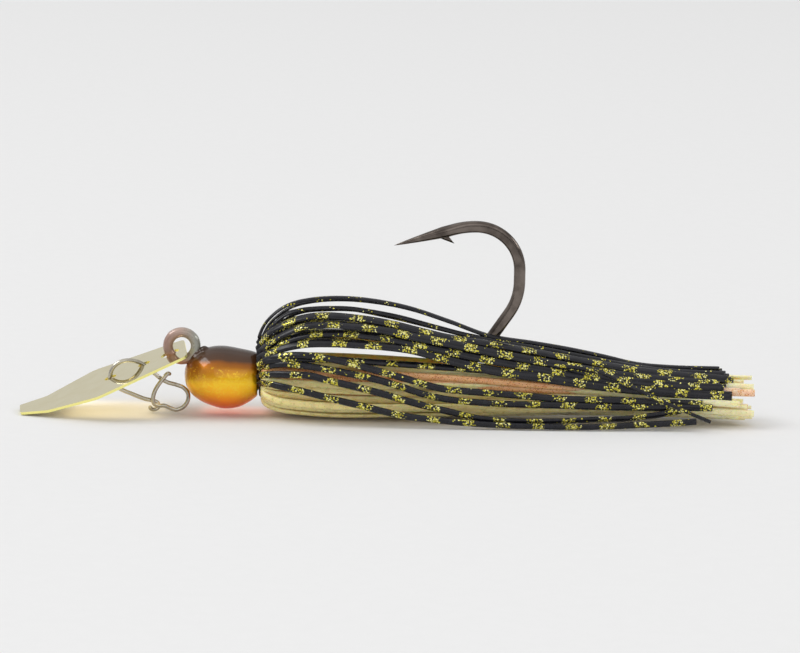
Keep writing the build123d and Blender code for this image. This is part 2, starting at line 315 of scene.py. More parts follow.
def ring_paint():
    """The hook's eye under thick, half-clear lacquer."""
    mat, tree, shader = new_material("eye_lacquer")
    place = add(tree, "ShaderNodeTexCoord").outputs["Object"]
    axes = add(tree, "ShaderNodeSeparateXYZ", Vector=place)
    cloud = add(tree, "ShaderNodeTexNoise", Vector=place, Scale=900.0, Detail=4.0)
    height = spread(tree, axes.outputs["Z"], 7.2 * MM, 13.0 * MM, 0.0, 1.0)
    mixed = calc(tree, "ADD", height, calc(tree, "MULTIPLY",
                 calc(tree, "SUBTRACT", cloud.outputs["Fac"], 0.5), 0.5))
    base = ramp(tree, mixed, [
        (0.0, (0.52, 0.13, 0.015)),
        (0.22, (0.40, 0.18, 0.07)),
        (0.45, (0.28, 0.16, 0.11)),
        (0.75, (0.34, 0.20, 0.155)),
        (1.0, (0.46, 0.32, 0.26)),
    ])
    eye_x = (COLLAR_X + EYE[0]) * MM
    aft = spread(tree, axes.outputs["X"], eye_x - 0.3 * MM, eye_x + 2.0 * MM, 0.0, 0.8)
    base = blend_colour(tree, aft, base, (0.30, 0.33, 0.28))
    tree.links.new(base, shader.inputs["Base Color"])
    tree.links.new(spread(tree, cloud.outputs["Fac"], 0.3, 0.7, 0.22, 0.42), shader.inputs["Roughness"])
    shader.inputs["Metallic"].default_value = 0.35
    shader.inputs["Coat Weight"].default_value = 1.0
    shader.inputs["Coat Roughness"].default_value = 0.06
    bump(tree, shader, cloud.outputs["Fac"], 0.5, 0.00006)
    return mat


def silicone(name, body, pale, flakes, cell, rate, roughness, soft, uneven=(0.72, 1.18), mirror=0.55,
             gloss=0.5):
    """Flat silicone strip with metal flakes.

    body, pale: colour over most of the strand and at its tail. flakes: dark and bright flake
    colours. cell: flake size in mm. rate: share of flakes (in a patch, between patches).
    soft: subsurface weight. uneven: lowest and highest brightness. mirror: how metallic the
    flakes are. gloss: specular level. The strand's own marks give the place along it.
    """
    mat, tree, shader = new_material(name)
    mark = tree.nodes.new("ShaderNodeAttribute")
    mark.attribute_name = "strand_mm"
    place = mark.outputs["Vector"]
    cells = add(tree, "ShaderNodeTexVoronoi", Vector=place, Scale=1.0 / cell)
    pick = add(tree, "ShaderNodeSeparateColor", Color=cells.outputs["Color"])
    spot = add(tree, "ShaderNodeSeparateXYZ", Vector=cells.outputs["Position"])
    ragged = add(tree, "ShaderNodeTexNoise", Vector=place, Scale=1.5, Detail=2.0)
    # Distance from the middle of the nearest patch, which repeats along the strand
    turns = calc(tree, "DIVIDE", spot.outputs["X"], PATCH_EVERY)
    across = calc(tree, "ABSOLUTE", calc(tree, "SUBTRACT", calc(tree, "FRACT", turns), 0.5))
    far = calc(tree, "ADD", calc(tree, "MULTIPLY", across, PATCH_EVERY),
               calc(tree, "MULTIPLY", calc(tree, "SUBTRACT", ragged.outputs["Fac"], 0.5), 2.2))
    much = tree.nodes.new("ShaderNodeAttribute")
    much.attribute_name = "strand_glitter"
    share = calc(tree, "MULTIPLY", spread(tree, far, *PATCH_HALF, *rate), much.outputs["Fac"])
    on = calc(tree, "LESS_THAN", pick.outputs["Red"], share)
    near = calc(tree, "LESS_THAN", cells.outputs["Distance"], 0.52)
    flake = calc(tree, "MULTIPLY", on, near)
    shine = ramp(tree, pick.outputs["Green"], [(0.0, flakes[0]), (0.55, flakes[1]), (1.0, flakes[2])])
    axes = add(tree, "ShaderNodeSeparateXYZ", Vector=place)
    tail = spread(tree, axes.outputs["X"], *PALE_TAIL, 0.0, 1.0)
    mottle = add(tree, "ShaderNodeTexNoise", Vector=place, Scale=0.8, Detail=3.0)
    shade = spread(tree, mottle.outputs["Fac"], 0.3, 0.7, *uneven)
    skin = blend_colour(tree, tail, body, pale)
    skin = add(tree, "ShaderNodeHueSaturation", Value=shade, Color=skin).outputs["Color"]
    tree.links.new(blend_colour(tree, flake, skin, shine), shader.inputs["Base Color"])
    tree.links.new(calc(tree, "MULTIPLY", flake, mirror), shader.inputs["Metallic"])
    tree.links.new(spread(tree, mottle.outputs["Fac"], 0.3, 0.7, roughness - 0.06, roughness + 0.08),
                   shader.inputs["Roughness"])
    shader.inputs["Specular IOR Level"].default_value = gloss
    shader.inputs["Subsurface Weight"].default_value = soft
    shader.inputs["Subsurface Radius"].default_value = (1.0, 0.75, 0.35)
    shader.inputs["Subsurface Scale"].default_value = 0.0007
    height = calc(tree, "ADD", calc(tree, "MULTIPLY", flake, pick.outputs["Blue"]),
                  calc(tree, "MULTIPLY", mottle.outputs["Fac"], 1.2))
    bump(tree, shader, height, 0.6, 0.00003)
    return mat


def collar_rubber():
    """Matt black rubber with a fine grain."""
    mat, tree, shader = new_material("collar_rubber")
    place = add(tree, "ShaderNodeTexCoord").outputs["Object"]
    grain = add(tree, "ShaderNodeTexNoise", Vector=place, Scale=3000.0, Detail=4.0)
    tone = ramp(tree, grain.outputs["Fac"], [(0.3, (0.010, 0.010, 0.011)), (0.7, (0.024, 0.023, 0.024))])
    tree.links.new(tone, shader.inputs["Base Color"])
    tree.links.new(spread(tree, grain.outputs["Fac"], 0.3, 0.7, 0.5, 0.68), shader.inputs["Roughness"])
    bump(tree, shader, grain.outputs["Fac"], 0.4, 0.00003)
    return mat


# ---------------------------------------------------------------- mesh helpers
def new_piece(name, verts, faces, mat, body="lure", replaces=()):
    """A smooth mesh from points in row mm, tied to its body and slot."""
    mesh = bpy.data.meshes.new(name)
    mesh.from_pydata([Vector(v) * MM for v in verts], [], faces)
    mesh.materials.append(mat)
    mesh.update()
    piece = bpy.data.objects.new(name, mesh)
    bpy.context.scene.collection.objects.link(piece)
    for polygon in mesh.polygons:
        polygon.use_smooth = True
    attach(piece, body)
    if replaces:
        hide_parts(*replaces)
    return piece


def way_along(line, i):
    """The direction of a line of points at its point i."""
    return (line[min(i + 1, len(line) - 1)] - line[max(i - 1, 0)]).normalized()


def round_angles(count):
    """The angles of count places evenly round a circle."""
    return [2 * math.pi * i / count for i in range(count)]


def tube(rings):
    """Vertices and faces of a closed skin over rings of equal length, capped at both ends."""
    count = len(rings[0])
    verts = [v for ring in rings for v in ring]
    faces = []
    for i in range(len(rings) - 1):
        for j in range(count):
            k = (j + 1) % count
            faces.append((i * count + j, i * count + k, (i + 1) * count + k, (i + 1) * count + j))
    faces.append(tuple(reversed(range(count))))
    faces.append(tuple((len(rings) - 1) * count + j for j in range(count)))
    return verts, faces


def smooth_line(points, step):
    """A Catmull-Rom line through the points, sampled about every step."""
    points = [Vector(p) for p in points]
    points = [2 * points[0] - points[1]] + points + [2 * points[-1] - points[-2]]
    line = []
    for a, b, c, d in zip(points, points[1:], points[2:], points[3:]):
        cuts = max(2, round((c - b).length / step))
        # Tangents weighed by the chords, so uneven spacing doesn't bulge
        ab, bc, cd = [max(v.length, 1e-6) ** 0.5 for v in (b - a, c - b, d - c)]
        go = (b - a) / ab - (c - a) / (ab + bc) + (c - b) / bc
        come = (c - b) / bc - (d - b) / (bc + cd) + (d - c) / cd
        go, come = go * bc, come * bc
        for i in range(cuts):
            t = i / cuts
            line.append(b * (2 * t ** 3 - 3 * t * t + 1) + go * (t ** 3 - 2 * t * t + t)
                        + c * (3 * t * t - 2 * t ** 3) + come * (t ** 3 - t * t))
    return line + [points[-2]]


def rounded_line(corners, radii, step):
    """Straight runs joined by arcs."""
    line = [Vector(corners[0])]
    for i, radius in enumerate(radii, start=1):
        corner = Vector(corners[i])
        come = (corner - Vector(corners[i - 1])).normalized()
        go = (Vector(corners[i + 1]) - corner).normalized()
        turn = come.angle(go)
        inward = (go - come).normalized()
        centre = corner + inward * radius / math.cos(turn / 2)
        start = corner - come * radius * math.tan(turn / 2)
        run = start - line[-1]
        cuts = max(1, round(run.length / step))
        line += [line[-1] + run * j / cuts for j in range(1, cuts + 1)]
        arm, side = start - centre, come
        cuts = max(2, round(radius * turn / step))
        line += [centre + arm * math.cos(turn * j / cuts) + side * radius * math.sin(turn * j / cuts)
                 for j in range(1, cuts + 1)]
    run = Vector(corners[-1]) - line[-1]
    cuts = max(1, round(run.length / step))
    return line + [line[-1] + run * j / cuts for j in range(1, cuts + 1)]


# ---------------------------------------------------------------- hook
def along_row(station):
    """Row-frame X, in mm, of a place given from the front of the skirt collar."""
    return COLLAR_X + station


# From the collar's front and the shank: corners of the bend, the radius at each, and the tip
HOOK_START = (-6.0, 0.0)
HOOK_BEND = ((30.55, 0.0), (38.75, 12.1), (38.75, 22.95), (30.45, 22.95))
BEND_RADII = (12.0, 8.5, 6.5, 12.0)
HOOK_TIP = (19.9, 19.91)
WIRE_HIGH, WIRE_FLAT = 1.75, 1.4
TAPER, TAPER_CURVE = 7.6, 0.8
FORGED_FROM, FORGED_TO = (32.0, 40.0), (8.0, 12.0)    # from the start, and from the tip
FORGED_SQUARE = 0.26             # how far the forging squares the round wire
HOOK_SIDES, HOOK_STEP = 28, 0.35
# The barb's outline, and half its thickness at each corner
BARB = ((26.30, 21.30, 0.03), (27.3, 20.92, 0.20), (28.90, 20.35, 0.09), (28.15, 21.25, 0.34),
        (27.7, 22.00, 0.40), (26.9, 21.75, 0.30))


def make_hook(mat):
    """The wire from inside the head to the needle point, with forged flats and the barb."""
    corners = [HOOK_START, *HOOK_BEND, HOOK_TIP]
    corners = [(along_row(x), 0.0, SHANK_Z + z) for x, z in corners]
    line = rounded_line(corners, BEND_RADII, HOOK_STEP)
    lengths = [0.0]
    for a, b in zip(line, line[1:]):
        lengths.append(lengths[-1] + (b - a).length)
    rings = []
    for i, point in enumerate(line):
        way = way_along(line, i)
        across = Vector((-way.z, 0, way.x))
        left = lengths[-1] - lengths[i]
        keep = min(1.0, max(0.02, (left / TAPER) ** TAPER_CURVE))
        forged = smooth_step(lengths[i], *FORGED_FROM) * smooth_step(left, *FORGED_TO)
        high = WIRE_HIGH / 2 * keep
        flat = (WIRE_HIGH + (WIRE_FLAT - WIRE_HIGH) * forged) / 2 * keep
        power = 1.0 - FORGED_SQUARE * forged
        ring = []
        for t in round_angles(HOOK_SIDES):
            c, s = math.cos(t), math.sin(t)
            ring.append(point + across * high * math.copysign(abs(c) ** power, c)
                        + Vector((0, 1, 0)) * flat * math.copysign(abs(s) ** power, s))
        rings.append(ring)
    verts, faces = tube(rings)
    # The barb is a chip raised from the inner side, thin at its free end
    base = len(verts)
    for side in (-1, 1):
        verts += [Vector((along_row(x), side * y, SHANK_Z + z)) for x, z, y in BARB]
    count = len(BARB)
    faces.append(tuple(base + j for j in range(count)))
    faces.append(tuple(base + count + j for j in reversed(range(count))))
    for j in range(count):
        k = (j + 1) % count
        faces.append((base + k, base + j, base + count + j, base + count + k))
    return new_piece("hook_wire", verts, faces, mat, replaces=["hook"])


def smooth_step(value, low, high):
    """0 below low, 1 above high, and a smooth change between them."""
    t = min(1.0, max(0.0, (value - low) / (high - low)))
    return t * t * (3 - 2 * t)


def make_eye(mat):
    """The eye's ring, its wire thickened unevenly by lacquer that has run to its foot."""
    verts, faces = [], []
    around, across = EYE_AROUND, EYE_ACROSS
    centre = Vector((along_row(EYE[0]), 0, SHANK_Z + EYE[1]))
    for i in range(around):
        a = 2 * math.pi * i / around
        out = Vector((math.cos(a), 0, math.sin(a)))
        for j in range(across):
            b = 2 * math.pi * j / across
            spot = out * math.cos(b) + Vector((0, 1, 0)) * math.sin(b)
            wobble = noise.noise(centre + out * 2.1 + spot * 0.5) * 0.03
            inside = max(0.0, -math.cos(b))
            radius = EYE_WIRE - 0.02 + wobble * (1 - inside)
            verts.append(centre + out * EYE_MEAN + spot * radius)
    for i in range(around):
        for j in range(across):
            a, b = (i + 1) % around, (j + 1) % across
            faces.append((i * across + j, i * across + b, a * across + b, a * across + j))
    return new_piece("eye_ring", verts, faces, mat)


# The snap's wire from its latch curl up through the rear hole, over, down and round to the
# clip: X and Z in row mm, and how far aside of the snap's own plane
SNAP_LINE = (
    (-35.75, 1.05, -0.10), (-35.55, 0.62, 0.12), (-34.95, 0.52, 0.34), (-34.45, 0.90, 0.42),
    (-34.60, 1.50, 0.42), (-35.20, 1.80, 0.42), (-36.50, 2.10, 0.36), (-38.40, 2.85, 0.24),
    (-40.30, 3.70, 0.10), (-41.45, 4.60, 0.02), (-41.72, 5.45, 0.0), (-41.45, 6.65, 0.0),
    (-40.65, 7.55, 0.0), (-39.60, 7.98, 0.0), (-38.40, 8.00, 0.0), (-37.30, 7.70, 0.0),
    (-36.45, 7.15, 0.02), (-35.40, 6.30, 0.14), (-34.20, 5.25, 0.34), (-33.10, 4.62, 0.44),
    (-31.90, 4.30, 0.40), (-30.75, 3.85, 0.34), (-30.05, 3.00, 0.20), (-30.10, 1.85, 0.06),
    (-30.80, 0.90, -0.04), (-31.80, 0.56, -0.12), (-32.70, 0.82, -0.20), (-33.50, 1.18, -0.28),
    (-34.50, 1.22, -0.33), (-35.10, 1.55, -0.38), (-35.25, 2.40, -0.42), (-34.95, 3.55, -0.44),
    (-34.30, 4.65, -0.44), (-33.50, 5.70, -0.40), (-33.05, 6.12, -0.30), (-32.70, 5.95, -0.10))
SNAP_RADIUS, SNAP_SIDES, SNAP_STEP = 0.32, 20, 0.14
SNAP_LEAN = math.tan(math.radians(4.0))


def make_snap(mat):
    """The line snap: one springy wire, tied to the places of the CAD wire by its box."""
    low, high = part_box("line_snap")
    aside = (low.y + high.y) / 2 / MM
    middle = (low.x + high.x) / 2 / MM
    points = [(x, aside + SNAP_LEAN * (x - middle) + y, z) for x, z, y in SNAP_LINE]
    line = smooth_line(points, SNAP_STEP)
    rings = []
    side = Vector((0, 1, 0))
    for i, point in enumerate(line):
        way = way_along(line, i)
        side = (side - way * side.dot(way)).normalized()
        up = way.cross(side)
        from_end = min(i, len(line) - 1 - i) * SNAP_STEP
        keep = min(1.0, 0.72 + from_end * 1.2)      # the cut ends are rounded off
        rings.append([point + (side * math.cos(a) + up * math.sin(a)) * SNAP_RADIUS * keep
                      for a in round_angles(SNAP_SIDES)])
    verts, faces = tube(rings)
    return new_piece("snap_wire", verts, faces, mat, body="snap", replaces=["line_snap"])


# ---------------------------------------------------------------- head
# Distance from the collar's front, height of the middle, and radius
HEAD = ((-11.25, -0.2, 0.05), (-11.2, -0.25, 0.9), (-10.8, -0.35, 1.95), (-10.0, -0.45, 2.9),
        (-8.7, -0.4, 3.87), (-7.3, -0.42, 4.42), (-5.4, -0.58, 4.73), (-3.0, -0.62, 4.42),
        (-0.9, -0.25, 3.62), (-0.25, -0.1, 3.2), (-0.2, 0.0, 2.3), (3.2, 0.0, 2.3),
        (3.25, 0.0, 2.6), (3.7, 0.0, 2.6), (3.75, 0.0, 1.9), (6.9, 0.0, 1.05), (6.95, 0.0, 0.9))
EGG_SECTIONS = 10                # the first sections, which are joined by a smooth line
HEAD_SIDES = 72
# Lumps at the eye's foot: distance from the collar's front, Y, height over the shank, radius
NOSE_LUMPS = ((-9.0, 0.0, 2.78, 1.12), (-8.3, -0.35, 3.4, 0.80), (-9.9, 0.1, 2.1, 0.95),
              (-8.0, 0.35, 3.25, 0.7), (-9.6, -0.55, 2.3, 0.7))
LUMP_SIDES, LUMP_RINGS = 24, 13
VOXEL = 0.11 * MM


def make_head(mat):
    """The cast head: an egg with lumps of lead and lacquer at the foot of the eye."""
    line = smooth_line(HEAD[:EGG_SECTIONS], 0.35)
    line += [Vector(section) for section in HEAD[EGG_SECTIONS:]]
    verts, faces = tube([[Vector((along_row(x), r * math.cos(a), SHANK_Z + z + r * math.sin(a)))
                          for a in round_angles(HEAD_SIDES)] for x, z, r in line])
    for x, y, z, r in NOSE_LUMPS:
        base = len(verts)
        # The first and last rings stop just short of the poles
        lump = [[Vector((along_row(x) + r * math.sin(u) * math.cos(v), y + r * math.sin(u) * math.sin(v),
                         SHANK_Z + z + r * math.cos(u)))
                 for v in round_angles(LUMP_SIDES)]
                for u in [math.pi * (i + 0.02) / (LUMP_RINGS - 0.96) for i in range(LUMP_RINGS)]]
        more, skin = tube(lump)
        verts += more
        faces += [tuple(base + k for k in face) for face in skin]
    piece = new_piece("head", verts, faces, mat, replaces=["head_casting"])
    remesh = piece.modifiers.new("remesh", "REMESH")
    remesh.mode = "VOXEL"
    remesh.voxel_size = VOXEL
    soften = piece.modifiers.new("soften", "SMOOTH")
    soften.factor = 0.5
    soften.iterations = 9
    bpy.context.view_layer.update()
    solid = piece.evaluated_get(bpy.context.evaluated_depsgraph_get())
    mesh = bpy.data.meshes.new_from_object(solid)
    piece.modifiers.clear()
    piece.data = mesh
    for polygon in mesh.polygons:
        polygon.use_smooth = True
    return piece


BAND_EDGE, BAND_GROOVES, BAND_GROOVE_DEEP = 0.35, 3, 0.09
BAND_SIDES, BAND_CUTS = 64, 36


def make_collar(mat):
    """The rubber band round the skirt's root: rounded edges and three shallow grooves."""
    low, high = ring_low.x / MM, ring_high.x / MM
    radius = (ring_high.z - ring_low.z) / 2 / MM
    rings = []
    for i in range(BAND_CUTS + 1):
        t = i / BAND_CUTS
        edge = min(t, 1 - t) * (high - low)
        r = radius - BAND_EDGE * (1 - min(1.0, edge / BAND_EDGE)) ** 2
        r -= BAND_GROOVE_DEEP * (1 - math.cos(2 * BAND_GROOVES * math.pi * t)) / 2
        rings.append([Vector((low + (high - low) * t, r * math.cos(a), SHANK_Z + r * math.sin(a)))
                      for a in round_angles(BAND_SIDES)])
    verts, faces = tube(rings)
    return new_piece("skirt_band", verts, faces, mat, replaces=["skirt_collar"])


# ---------------------------------------------------------------- skirt
STRAND_WIDE, STRAND_THICK = 1.06, 0.34
CHAMFER = 0.10
CUP = 0.16                       # how far a strip's edges curl in towards the skirt's axis
OVER_FLOOR = 0.02
AXIS_DROP = math.tan(math.radians(1.4))
# Half axes of the ellipses that the outer strands reach at the bulge and at the tail
BULGE_SIDE, BULGE_TOP, BULGE_BOTTOM = 8.8, 11.2, 5.7
TAIL_SIDE, TAIL_HIGH = 6.6, 3.4


def ellipse(a, b, angle):
    """The radius of an ellipse with half axes a and b, at an angle."""
    return 1 / math.hypot(math.cos(angle) / a, math.sin(angle) / b)


def skirt_axis(along):
    """The line that the strands surround, in row mm."""
    return Vector((along_row(along), 0, SHANK_Z - AXIS_DROP * along))


def fan_line(angle, share, tail, seed):
    """Control points of a strand that leaves the collar at an angle, arches and trails back.

    angle: degrees round the axis, 90 at the top. share: of the full bulge. tail: where it ends.
    """
    dice = random.Random(seed)
    a = math.radians(angle)
    bulge = share * ellipse(BULGE_SIDE, BULGE_TOP if math.sin(a) > 0 else BULGE_BOTTOM, a)
    end = share * ellipse(TAIL_SIDE, TAIL_HIGH, a)
    root = 2.75 + 0.75 * share
    rise = max(0.0, bulge - root)
    plan = [(0.75, root - 0.1), (0.45, root + 0.18 * rise + 0.1), (0.9, root + 0.52 * rise),
            (2.6, root + 0.80 * rise), (6.0, root + 0.96 * rise), (11.5, root + 1.03 * rise),
            (19.0, 0.90 * bulge + 0.10 * end), (29.0, 0.64 * bulge + 0.36 * end),
            (42.0, 0.28 * bulge + 0.72 * end), (55.0, 0.04 * bulge + 0.96 * end), (tail, end)]
    sway, dip, points = dice.uniform(-1, 1), dice.uniform(-1, 1), []
    for along, radius in plan:
        loose = min(1.0, along / 40.0)
        turn = a + math.radians(7.0 * sway) * math.sin(along / 17.0 + 6 * dip) * loose
        way = Vector((0, math.cos(turn), math.sin(turn)))
        point = skirt_axis(along) + way * radius
        point.y += 0.7 * dip * math.sin(along / 13.0 + sway * 3) * loose
        point.z += 0.5 * sway * math.sin(along / 11.0 + dip * 5) * loose
        points.append(point)
    return points


def strand_rings(points, width, twist, seed):
    """Rings of a flat strip along the points, its face turned away from the skirt's axis.

    Also each vertex's mark: mm along, across and through the strip, for the flakes.
    """
    dice = random.Random(seed)
    line = smooth_line(points, 0.55)
    phase, turns = dice.uniform(0, 6.28), dice.uniform(0.8, 1.8)
    half, thick = width / 2, STRAND_THICK / 2
    third = half / 3
    outline = [(-half, thick - CHAMFER), (-half + CHAMFER, thick), (-third, thick), (third, thick),
               (half - CHAMFER, thick), (half, thick - CHAMFER), (half, CHAMFER - thick),
               (half - CHAMFER, -thick), (third, -thick), (-third, -thick),
               (-half + CHAMFER, -thick), (-half, CHAMFER - thick)]
    outline = [(u, v - CUP * (u / half) ** 2) for u, v in outline]
    rings, marks, run = [], [], 0.0
    shift, phase_mm = dice.uniform(0, 400), dice.uniform(0, PATCH_EVERY)
    for i, point in enumerate(line):
        way = way_along(line, i)
        if i:
            run += (point - line[i - 1]).length
        away = point - skirt_axis(max(0.0, point.x - COLLAR_X))
        away = (away - way * away.dot(way)).normalized()
        side = way.cross(away)
        grow = min(1.0, run / 18.0)
        spin = math.radians(twist) * grow * math.sin(run / 75.0 * 6.28 * turns + phase)
        flat = side * math.cos(spin) + away * math.sin(spin)
        up = away * math.cos(spin) - side * math.sin(spin)
        ring = [point + flat * u + up * v for u, v in outline]
        low = min(v.z for v in ring)
        if low < OVER_FLOOR:
            ring = [v + Vector((0, 0, OVER_FLOOR - low)) for v in ring]
        rings.append(ring)
        marks += [(run + phase_mm, u + shift, v + shift) for u, v in outline]
    return rings, marks


def make_strand(name, ribbons, mat, replaces, twist=14.0, width=STRAND_WIDE, glitter=1.0):
    """One piece of one or more strips, each given by its points and its seed.

    twist: degrees that the strip turns to and fro. glitter: share of the usual flakes.
    """
    verts, faces, marks = [], [], []
    for points, seed in ribbons:
        rings, more_marks = strand_rings(points, width, twist, seed)
        more, skin = tube(rings)
        base = len(verts)
        verts += more
        faces += [tuple(base + k for k in face) for face in skin]
        marks += more_marks
    piece = new_piece(name, verts, faces, mat, replaces=replaces)
    layer = piece.data.attributes.new("strand_mm", "FLOAT_VECTOR", "POINT")
    layer.data.foreach_set("vector", [c for mark in marks for c in mark])
    layer = piece.data.attributes.new("strand_glitter", "FLOAT", "POINT")
    layer.data.foreach_set("value", [glitter] * len(marks))
    for polygon in piece.data.polygons:
        if len(polygon.vertices) > 4:
            polygon.use_smooth = False          # the cut ends
    return piece


# Near and top strands that the eye follows one by one: X, Y, Z in row mm
NEAR_STRANDS = {
    # the two thin arches on top
    "strand_black_01": [(-18.6, -0.4, 9.8), (-19.5, -0.5, 11.4), (-18.9, -0.6, 13.6), (-17.3, -0.7, 15.6),
                        (-14.9, -0.8, 17.2), (-11.4, -0.9, 18.1), (-6.9, -1.0, 18.4), (-1.9, -1.0, 18.0),
                        (3.1, -0.9, 17.0), (9.0, -0.9, 15.1), (15.0, -0.8, 13.0), (21.8, -0.6, 12.0),
                        (27.0, -0.6, 11.2), (32.2, -0.6, 10.2), (37.3, -0.5, 9.1), (42.5, -0.4, 8.7),
                        (49.7, -0.3, 8.6)],
    "strand_black_15": [(-18.5, -1.0, 9.7), (-19.0, -1.1, 11.1), (-18.2, -1.3, 13.1), (-15.8, -1.5, 15.5),
                        (-13.4, -1.6, 16.5), (-9.6, -1.7, 16.9), (-5.9, -1.7, 16.9), (-2.1, -1.7, 16.4),
                        (1.6, -1.6, 15.7), (6.6, -1.5, 14.4), (11.5, -1.4, 13.2), (16.5, -1.3, 12.3),
                        (24.0, -1.5, 11.2), (32.0, -1.6, 9.8), (40.0, -1.5, 8.5), (50.6, -1.4, 8.0)],
    # the broad satin strands under them
    "strand_black_02": [(-18.6, -1.8, 9.3), (-19.2, -2.1, 10.7), (-18.0, -2.8, 13.0), (-15.6, -3.5, 14.7),
                        (-12.6, -4.0, 15.8), (-9.6, -4.3, 16.2), (-5.4, -4.5, 16.0), (-0.8, -4.5, 15.4),
                        (4.0, -4.4, 14.3), (9.0, -4.2, 13.2), (14.0, -3.9, 12.5), (20.0, -3.6, 11.5),
                        (28.0, -3.2, 10.1), (36.0, -2.9, 8.7), (43.0, -2.7, 7.9), (50.9, -2.6, 7.3)],
    "strand_black_03": [(-18.6, -2.4, 8.8), (-19.1, -2.9, 10.1), (-17.2, -4.1, 12.3), (-13.4, -5.0, 14.4),
                        (-9.6, -5.5, 15.0), (-5.4, -5.7, 14.9), (-0.8, -5.7, 14.4), (4.0, -5.6, 13.4),
                        (9.0, -5.3, 12.5), (14.0, -5.0, 11.5), (20.0, -4.8, 10.4), (28.0, -4.4, 9.1),
                        (36.0, -4.0, 7.8), (43.0, -3.8, 7.1), (49.6, -3.7, 6.7)],
    "strand_black_16": [(-18.3, -2.6, 8.4), (-18.7, -3.1, 9.6), (-16.4, -4.4, 11.8), (-12.6, -5.2, 13.3),
                        (-8.6, -5.7, 13.8), (-4.6, -5.9, 13.7), (0.0, -5.9, 13.2), (4.6, -5.8, 12.3),
                        (9.6, -5.5, 11.2), (14.6, -5.3, 10.2), (20.6, -5.2, 9.2), (28.0, -5.0, 8.1),
                        (36.0, -4.7, 7.1), (43.5, -4.4, 6.4), (50.2, -4.2, 6.1)],
    "strand_black_04": [(-18.6, -3.0, 8.1), (-19.1, -3.6, 9.3), (-16.8, -5.0, 10.9), (-12.8, -6.0, 12.1),
                        (-8.4, -6.5, 12.4), (-4.8, -6.6, 12.3), (-0.8, -6.6, 12.1), (3.4, -6.4, 11.6),
                        (6.6, -6.2, 10.8), (11.0, -6.0, 9.6), (16.0, -5.8, 8.5), (22.0, -5.7, 7.7),
                        (30.0, -5.5, 6.6), (38.0, -5.2, 5.8), (45.0, -4.9, 5.3), (51.4, -4.8, 5.1)],
    # strands that sweep down over the gold ones
    "strand_black_05": [(-18.6, -3.3, 7.3), (-19.2, -4.1, 8.4), (-16.9, -5.8, 10.0), (-13.4, -7.0, 10.6),
                        (-9.6, -7.6, 10.4), (-5.9, -7.8, 9.7), (-2.4, -7.9, 8.8), (2.8, -7.9, 7.4),
                        (7.8, -7.7, 6.0), (14.0, -7.4, 5.4), (18.2, -7.1, 5.1), (26.0, -6.6, 4.5),
                        (34.0, -6.1, 4.4), (41.0, -5.6, 4.1), (47.0, -5.2, 3.9)],
    "strand_black_18": [(-18.3, -3.3, 6.9), (-18.7, -4.1, 7.8), (-16.9, -5.9, 8.9), (-13.4, -7.1, 9.1),
                        (-10.9, -7.6, 8.9), (-7.1, -7.9, 8.3), (-2.4, -8.0, 7.4), (1.6, -8.0, 6.3),
                        (5.3, -7.9, 5.1), (9.0, -7.7, 4.3), (16.5, -7.2, 3.7), (24.0, -6.9, 3.6),
                        (31.7, -6.4, 3.4), (39.0, -5.9, 3.3), (48.5, -5.3, 3.3)],
    "strand_black_06": [(-18.6, -3.3, 6.0), (-19.2, -4.2, 6.7), (-17.0, -6.2, 7.4), (-14.6, -7.3, 7.6),
                        (-11.4, -8.0, 7.6), (-8.4, -8.2, 6.9), (-4.6, -8.35, 6.1), (-0.9, -8.4, 5.2),
                        (4.1, -8.35, 3.8), (9.0, -8.2, 2.6), (14.0, -8.0, 1.5), (20.0, -7.7, 1.15),
                        (25.7, -7.3, 1.2), (30.9, -7.0, 1.5), (36.0, -6.7, 1.7), (41.2, -6.2, 2.4),
                        (43.8, -5.9, 2.9)],
    "strand_black_07": [(-18.6, -3.2, 5.2), (-19.1, -4.0, 5.5), (-17.6, -5.9, 5.8), (-15.8, -7.2, 5.7),
                        (-12.1, -8.1, 5.1), (-8.6, -8.4, 4.3), (-3.4, -8.5, 3.15), (2.3, -8.6, 1.9),
                        (7.4, -8.6, 1.3), (12.8, -8.5, 0.85), (18.2, -8.4, 0.6), (21.8, -8.3, 0.55),
                        (27.0, -8.1, 0.5), (32.2, -7.8, 0.6), (37.3, -7.3, 0.85), (42.5, -6.9, 1.15),
                        (46.1, -6.6, 1.4)],
}

# Strands that have a twin behind them, and how far off it is; those of the satin mass are wider
TWINS = {"strand_black_01": (0.5, 1.2, -0.5), "strand_black_15": (0.6, 1.3, -0.5),
         "strand_black_02": (0.9, 1.1, -0.35), "strand_black_16": (0.4, 1.2, -0.1)}
BROAD = ("strand_black_02", "strand_black_03", "strand_black_04", "strand_black_16")
TOP_WIDE = 1.42
# The two top arches show their edges, which have few flakes
EDGE_ON = ("strand_black_01", "strand_black_15")
EDGE_GLITTER = 0.14

# One thin strip that has slipped down over the others
STRAY_WIDE = 0.55
STRAY = [(24.0, -4.6, 9.4), (31.1, -6.2, 8.8), (36.5, -7.2, 6.6), (42.0, -7.8, 4.2), (48.1, -8.1, 1.7)]

